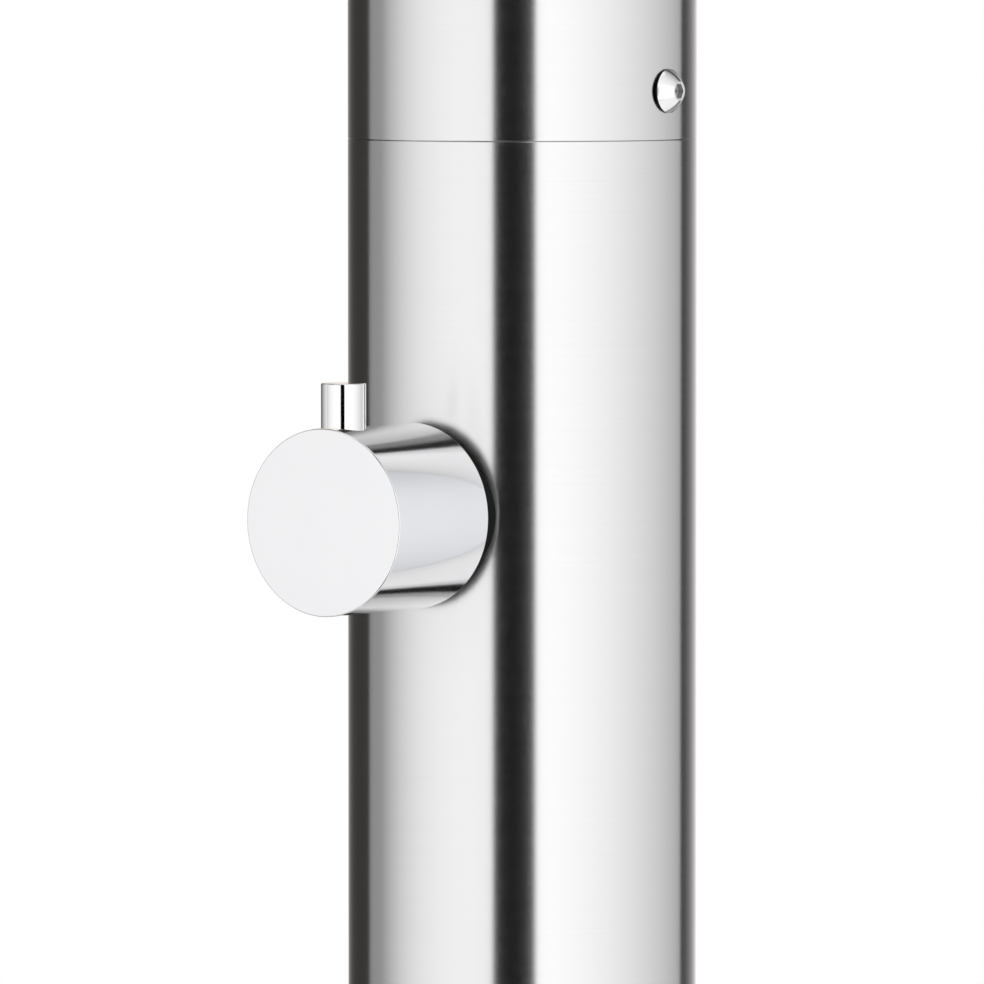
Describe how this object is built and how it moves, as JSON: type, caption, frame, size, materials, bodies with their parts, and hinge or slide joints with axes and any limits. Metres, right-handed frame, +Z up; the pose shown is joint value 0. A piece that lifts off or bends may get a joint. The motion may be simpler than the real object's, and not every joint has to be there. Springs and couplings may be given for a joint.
{
  "type": "outdoor shower post",
  "caption": "Two-part round stainless column on a floor plate, with a one-knob mixer, its pipes and valves inside, and a round rain head on a bent arm.",
  "frame": {"origin": "on the column's axis, in the underside of the floor plate", "axes": "+Z up the column; the front, with the knob and the rain head, faces -Y; +X is to the right seen from the front"},
  "size_m": [0.25, 0.635, 2.183],
  "materials": {
    "brushed_steel": "stainless steel, fine satin grain round the tubes",
    "polished_steel": "polished stainless steel",
    "plain_steel": "plain mill-finish stainless steel",
    "brass": "machined brass",
    "steel_braid": "woven stainless wire over a rubber tube",
    "black_rubber": "matt black rubber",
    "white_plastic": "matt off-white engineering plastic",
    "ceramic": "lapped white ceramic",
    "silicone": "grey silicone"
  },
  "bodies": {
    "post": {"base_plate": "brushed_steel", "base_weld": "brushed_steel", "lower_tube": "brushed_steel", "upper_tube": "brushed_steel", "joint_sleeve": "plain_steel", "sleeve_nuts": "plain_steel", "joint_screws": "polished_steel", "top_cap": "brushed_steel", "cap_seal": "black_rubber", "support_ring": "plain_steel", "inlet_plate": "plain_steel", "inlet_nipples": "brass", "inlet_locknuts": "brass", "check_valves": "white_plastic", "cold_hose": "steel_braid", "hot_hose": "steel_braid", "riser_hose": "steel_braid", "hose_inserts": "brass", "hose_ferrules": "polished_steel", "union_nuts": "polished_steel", "hose_washers": "black_rubber", "mixer_body": "brass", "inner_saddle": "black_rubber", "outer_saddle": "black_rubber", "ring_nut": "brass", "base_seal": "black_rubber", "fixed_disc": "ceramic", "cartridge_body": "white_plastic", "stem_seal": "black_rubber", "cartridge_nut": "brass", "shower_arm": "brushed_steel", "arm_collar": "polished_steel", "arm_saddle": "black_rubber", "arm_locknut": "brass", "arm_elbow": "brass", "arm_nipple": "brass", "ball_stem": "polished_steel"},
    "control_knob": {"moving_disc": "ceramic", "spindle": "brass", "knob": "polished_steel", "lever_pin": "polished_steel", "knob_grub": "plain_steel"},
    "ball_seat": {"seat_ring": "white_plastic"},
    "shower_head": {"ball_nut": "polished_steel", "head_neck": "polished_steel", "flow_regulator": "white_plastic", "head_shell": "brushed_steel", "rim_gasket": "black_rubber", "nozzle_mat": "silicone", "spray_plate": "brushed_steel", "spray_screws": "polished_steel"}
  },
  "joints": [
    {"name": "knob_turn", "type": "hinge", "parent": "post", "child": "control_knob", "pos_m": [0, -0.058, 1.0695], "axis": [0, -1, 0], "range_deg": [0, 100]},
    {"name": "head_turn", "type": "hinge", "parent": "post", "child": "ball_seat", "pos_m": [0, -0.4, 2.00725], "axis": [0, 0, 1], "continuous": true},
    {"name": "head_tilt", "type": "hinge", "parent": "ball_seat", "child": "shower_head", "pos_m": [0, -0.4, 2.00725], "axis": [1, 0, 0], "range_deg": [-12, 12]}
  ]
}
